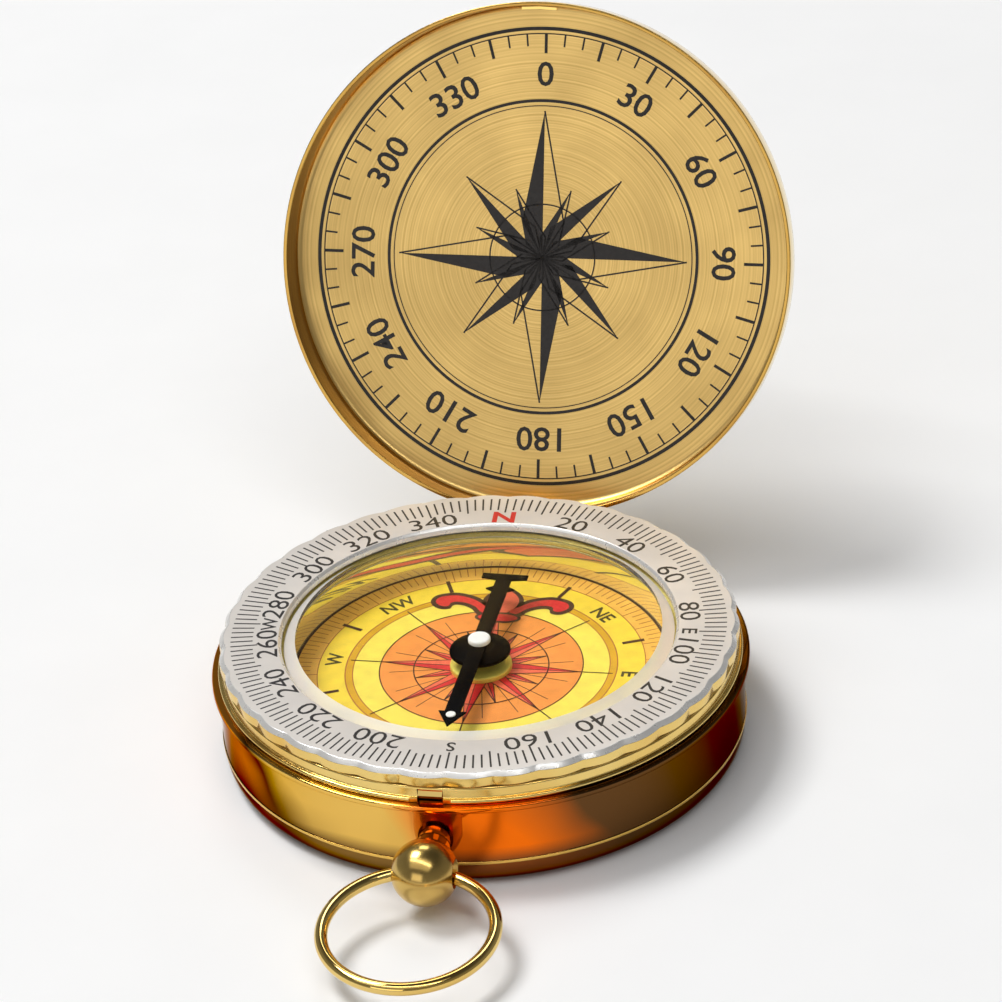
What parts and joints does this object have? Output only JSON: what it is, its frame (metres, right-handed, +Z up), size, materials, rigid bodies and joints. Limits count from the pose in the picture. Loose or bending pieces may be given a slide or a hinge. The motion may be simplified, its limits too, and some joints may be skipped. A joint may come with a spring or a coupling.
{
  "type": "magnetic compass",
  "caption": "Round brass pocket compass with a hinged flip lid, a turning graduated bezel, a pivoted needle over a rose dial, and a push-button pendant with a bow ring.",
  "frame": {"origin": "centre of the case's flat base, on the surface that it stands on", "axes": "+Z up along the needle's pivot, +Y towards the lid's hinge, -Y towards the button and bow ring, +X to the dial's east"},
  "size_m": [0.05, 0.0937, 0.0541],
  "materials": {
    "polished_brass": "mirror polished brass",
    "brushed_brass": "brushed brass, circular grain",
    "satin_silver": "satin silver with black print",
    "steel": "plain steel",
    "black_enamel": "gloss black enamel",
    "white_lume": "white luminous paint",
    "dial_print": "printed card, yellow and orange compass rose",
    "rubber": "matt black",
    "white_plastic": "moulded white plastic",
    "crystal_glass": "clear domed glass"
  },
  "bodies": {
    "case": {"case_body": "polished_brass", "bezel_seat": "polished_brass", "spacer_ring": "white_plastic", "dial_plate": "steel", "dial_card": "dial_print", "reflector_ring": "polished_brass", "crystal_gasket": "rubber", "crystal": "crystal_glass", "pivot_base": "polished_brass", "pivot_pin": "steel", "case_hinge_leaf": "polished_brass", "hinge_pin": "steel", "button_sleeve": "polished_brass", "catch_spring": "steel", "catch_spring_screw": "steel"},
    "bezel": {"bezel_ring": "satin_silver", "bezel_snap_wire": "steel"},
    "needle": {"needle_blade": "black_enamel", "needle_hub": "black_enamel", "needle_cap": "white_lume", "needle_lume_dot": "white_lume"},
    "lid": {"lid_shell": "brushed_brass", "lid_hinge_leaf": "polished_brass", "lid_catch_lip": "polished_brass"},
    "button": {"button_ball": "polished_brass", "button_stem": "steel", "stem_clip": "steel", "catch_hook": "steel"},
    "bow": {"bow_ring": "polished_brass"}
  },
  "joints": [
    {"name": "lid_hinge", "type": "hinge", "parent": "case", "child": "lid", "pos_m": [0, 0.0252, 0.0083], "axis": [1, 0, 0], "range_deg": [0, 113.5]},
    {"name": "bezel_turn", "type": "hinge", "parent": "case", "child": "bezel", "pos_m": [0, 0, 0.0112], "axis": [0, 0, 1], "continuous": true},
    {"name": "needle_spin", "type": "hinge", "parent": "case", "child": "needle", "pos_m": [0, 0, 0.0104], "axis": [0, 0, 1], "continuous": true},
    {"name": "button_press", "type": "slide", "parent": "case", "child": "button", "axis": [0, 1, 0], "range_m": [0, 0.0007], "stiffness_N_per_m": 800, "springref_m": -0.0012},
    {"name": "bow_swing", "type": "hinge", "parent": "button", "child": "bow", "pos_m": [0, -0.02825, 0.0043], "axis": [1, 0, 0], "range_deg": [-105, 85]}
  ]
}
